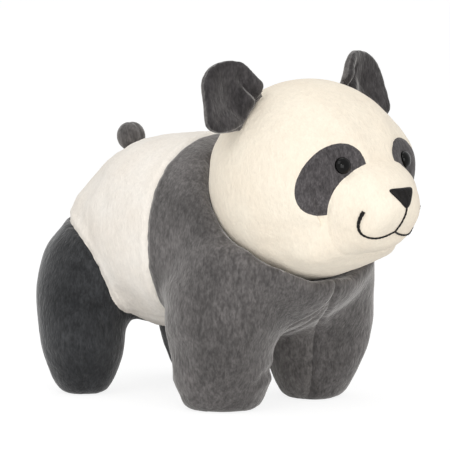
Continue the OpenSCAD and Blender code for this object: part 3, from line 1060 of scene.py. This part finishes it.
def ear_frame(side):
    """The left ear's own frame, with its root at the origin and its open side along X.
    The right ear's is its mirror image."""
    return (
        Matrix.Translation(HEAD_AT)
        @ Matrix.Diagonal((1, side, 1, 1))
        @ Matrix.Rotation(-EAR_SPREAD, 4, "X")
        @ Matrix.Rotation(-EAR_TILT, 4, "Y")
        @ Matrix.Translation((0, 0, HEAD_R + EAR_LIFT))
        @ Matrix.Rotation(EAR_TURN, 4, "Z")
    )


def ear_depth(q):
    """Above zero in front of the seam between an ear's two layers, for a place in its own frame"""
    return q.x - EAR_CUP * (q.y / EAR_R) ** 2


def ear_folded(q):
    """The hand-sewn lie of an ear: rolled at its inner rim, pinched and sunk at its root, leaning
    back and turned in. X is its open side, Y points down the side of the head and Z to its tip."""
    y, z = q.y / MM, q.z / MM
    front = 1.0 if ear_depth(q) > 0 else 0.3
    rim = 2.2 * hump(y, -20, 5) * hump(z, 10, 16)
    crease = 3.2 * hump(y, -11 - 0.15 * (z - 10), 3.0) * hump(z, 8, 13)
    bump = 2.4 * hump(y, -4, 5) * hump(z, 9, 8)
    pinch = 3.6 * hump(y, -3, 7) * hump(z, -1, 4)
    tuck = 1.2 * hump(y, 7, 1.8) * hump(z, 8, 6)
    hollow = 1.8 * hump(y, 2, 10) * hump(z, 16, 10)
    x = q.x / MM + front * (rim + bump - crease - pinch - tuck - hollow)
    outer = ramp(y, 4, 14)
    inner = ramp(-y, 4, 14)
    root = hump(z, -2, 5)
    full = 6.4 * hump(z, 14, 11) * outer
    narrow = 5.0 * hump(z, 13, 14) * inner
    crown = 3.0 * hump(y, 5, 14) * hump(z, 37, 14)
    sunk = (2.2 + 0.04 * y) * root
    z = z * 0.92 + full * 0.65 + crown - sunk
    y = y + full + narrow - 3.0 * root * outer
    x = x - EAR_LEAN * ramp(z, 0, 16)
    return Matrix.Rotation(EAR_INWARD, 3, "Z") @ Vector((x, y, z)) * MM


def ear(side):
    name = "left" if side > 0 else "right"
    nodes = ["ear_front_" + name, "ear_back_" + name]
    frame_in = ear_frame(side)
    frame_out = frame_in.inverted()

    def depth(p):
        return ear_depth(frame_out @ p)

    def piece(p):
        return nodes[0] if depth(p) > 0 else nodes[1]

    bm = one_skin("ear", nodes, EAR_CELL)
    smooth(bm, 5)
    bm = stuffed("ear_" + name, bm, lambda p: abs(depth(p)) < 1.2 * MM, cap=1.2 * MM)
    bm = subdivided("ear", bm)
    cut_along(bm, piece, [depth])
    names, layer = sorted_faces(bm, piece)
    sew(bm, names, layer, lambda a, b: 1.0 * MM, width=1.1 * MM, pucker=0.2 * MM)
    for v in bm.verts:
        v.co = frame_in @ ear_folded(frame_out @ v.co)
    smooth(bm, 2)
    nap(bm, 0.1 * MM)
    settle_panels(bm, names, layer, EAR_WALL)


# ---- Tail ----

def tail():
    def piece(p):
        return "tail_" + side_of(p)

    bm = one_skin("tail", ["tail_left", "tail_right", "tail_filling"], TAIL_CELL)
    smooth(bm, 5)
    bm = stuffed("tail", bm, lambda p: abs(p.y) < 1 * MM, cap=0.6 * MM)
    bm = subdivided("tail", bm)
    cut_along(bm, piece, [lambda p: p.y])
    names, layer = sorted_faces(bm, piece)
    sew(bm, names, layer, lambda a, b: 0.5 * MM, width=1.1 * MM, pucker=0.2 * MM)
    nap(bm, 0.1 * MM)
    settle_panels(bm, names, layer, TAIL_WALL)
    settle_filling("tail_filling", 1.0 * MM)


# ---- CAD nodes that stay ----

def keep_node(node):
    mesh = frame["nodes"][node].data
    mesh.materials.clear()
    mesh.materials.append(SLOT_FINISH[SLOT_OF[node]])


# ---- Studio ----

CAMERA_TURN = math.radians(45.3)
CAMERA_UP = math.radians(6.5)
LENS = 420
SENSOR = 36
VIEW_W = 270.5 * MM
LOOK_AT = Vector((-9.6, -9.7, 105.8)) * MM

FLOOR_R = 6.0
FLOOR_GREY = 0.86
FLOOR_GLOW = 1.18
GLOW_SHARE = 0.72  # of the floor as the camera sees it; the rest takes the shadows
AIR_LIGHT = 0.64  # of the white surroundings, on the object
LAMPS_AIM = Vector((0, 0, 0.1))


def camera():
    data = bpy.data.cameras.new("camera")
    data.lens = LENS
    data.sensor_width = SENSOR
    level = math.cos(CAMERA_UP)
    back = Vector(
        (math.sin(CAMERA_TURN) * level, -math.cos(CAMERA_TURN) * level, math.sin(CAMERA_UP))
    )
    obj = bpy.data.objects.new("camera", data)
    bpy.context.scene.collection.objects.link(obj)
    obj.location = LOOK_AT + back * VIEW_W * LENS / SENSOR
    obj.rotation_euler = (-back).to_track_quat("-Z", "Y").to_euler()
    bpy.context.scene.camera = obj


def lamp(name, place, size, watts):
    data = bpy.data.lights.new(name, "AREA")
    data.shape = "SQUARE"
    data.size = size
    data.energy = watts
    obj = bpy.data.objects.new(name, data)
    bpy.context.scene.collection.objects.link(obj)
    obj.location = place
    aim = LAMPS_AIM - Vector(place)
    obj.rotation_euler = aim.to_track_quat("-Z", "Y").to_euler()


def seen_by_eye(tree):
    """One where a ray comes from the camera, a reflection or glass"""
    path = tree.nodes.new("ShaderNodeLightPath")
    total = path.outputs["Is Camera Ray"]
    for kind in ("Is Glossy Ray", "Is Transmission Ray"):
        add = tree.nodes.new("ShaderNodeMath")
        add.operation = "ADD"
        add.use_clamp = True
        tree.links.new(total, add.inputs[0])
        tree.links.new(path.outputs[kind], add.inputs[1])
        total = add.outputs["Value"]
    return total


def floor():
    bm = bmesh.new()
    bmesh.ops.create_circle(bm, cap_ends=True, segments=64, radius=FLOOR_R)
    obj = mesh_object("floor", bm)
    mat, tree, shader = finish_of("pale_floor", roughness=0.9)
    shader.inputs["Base Color"].default_value = grey(FLOOR_GREY)
    shader.inputs["Specular IOR Level"].default_value = 0.0
    glow = tree.nodes.new("ShaderNodeEmission")
    glow.inputs["Strength"].default_value = FLOOR_GLOW
    share = tree.nodes.new("ShaderNodeMath")
    share.operation = "MULTIPLY"
    share.inputs[1].default_value = GLOW_SHARE
    tree.links.new(seen_by_eye(tree), share.inputs[0])
    mix = tree.nodes.new("ShaderNodeMixShader")
    tree.links.new(share.outputs["Value"], mix.inputs["Fac"])
    tree.links.new(shader.outputs["BSDF"], mix.inputs[1])
    tree.links.new(glow.outputs["Emission"], mix.inputs[2])
    tree.links.new(mix.outputs["Shader"], tree.nodes["Material Output"].inputs["Surface"])
    obj.data.materials.append(mat)
    obj.location.z = -0.05 * MM


def studio_light():
    world = bpy.data.worlds.new("studio")
    bpy.context.scene.world = world
    world.use_nodes = True
    tree = world.node_tree
    back = tree.nodes["Background"]
    level = tree.nodes.new("ShaderNodeMapRange")
    level.inputs["To Min"].default_value = AIR_LIGHT
    level.inputs["To Max"].default_value = 1.0
    tree.links.new(seen_by_eye(tree), level.inputs["Value"])
    tree.links.new(level.outputs["Result"], back.inputs["Strength"])
    back.inputs["Color"].default_value = (1, 1, 1, 1)
    lamp("key", (0.35, -1.1, 1.3), size=0.9, watts=5.2)
    lamp("front", (1.2, -0.7, 0.22), size=0.8, watts=6.2)
    lamp("top", (-0.4, 0.3, 1.6), size=1.0, watts=3)
    lamp("catch_light", (1.1, -0.9, 0.75), size=0.1, watts=1.2)


def studio():
    camera()
    floor()
    studio_light()
    bpy.context.scene.view_settings.view_transform = "Standard"


studio()
body()
face, eye_place = head()
for side in (1, -1):
    eye(side, eye_place)
    ear(side)
nose(face)
mouth(face)
tail()
for node in ("neck_seam", "eye_washer_left", "eye_washer_right"):
    keep_node(node)
